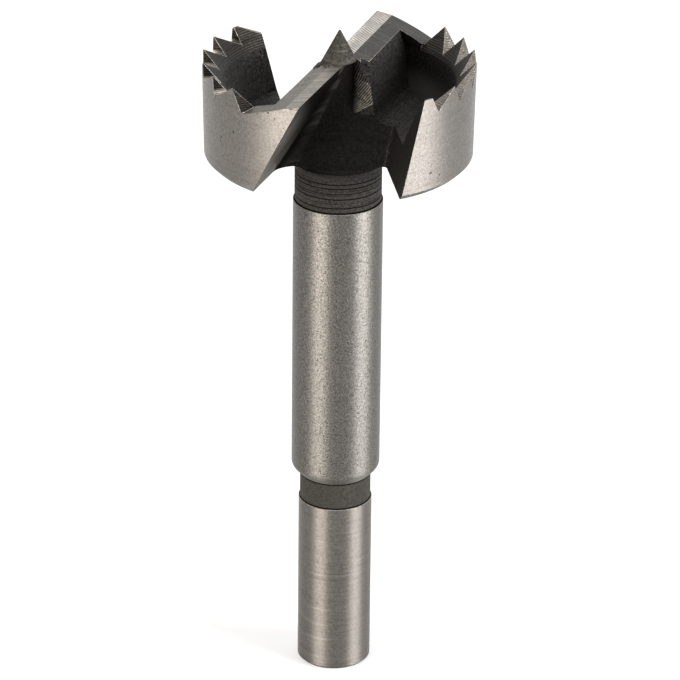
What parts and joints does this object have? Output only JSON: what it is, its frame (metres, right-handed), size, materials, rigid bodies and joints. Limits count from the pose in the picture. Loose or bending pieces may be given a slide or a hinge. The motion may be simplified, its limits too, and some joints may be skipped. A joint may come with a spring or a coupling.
{
  "type": "forstner drill bit",
  "caption": "Forstner bit with a saw-tooth rim cut into two walls, two chisel cutters, a conical brad point and a round stepped shank with a turned-down chuck end.",
  "frame": {"origin": "centre of the flat end face of the shank", "axes": "+Z along the bit's axis from shank to brad point; the front throat opens towards -Y"},
  "size_m": [0.036, 0.0346, 0.0926],
  "materials": {
    "steel": "ground bright on the walls, cutter flanks and shank, dark milled and heat-blackened in the throats, pockets and neck"
  },
  "bodies": {
    "root": {"forstner_bit": "steel"}
  },
  "joints": []
}
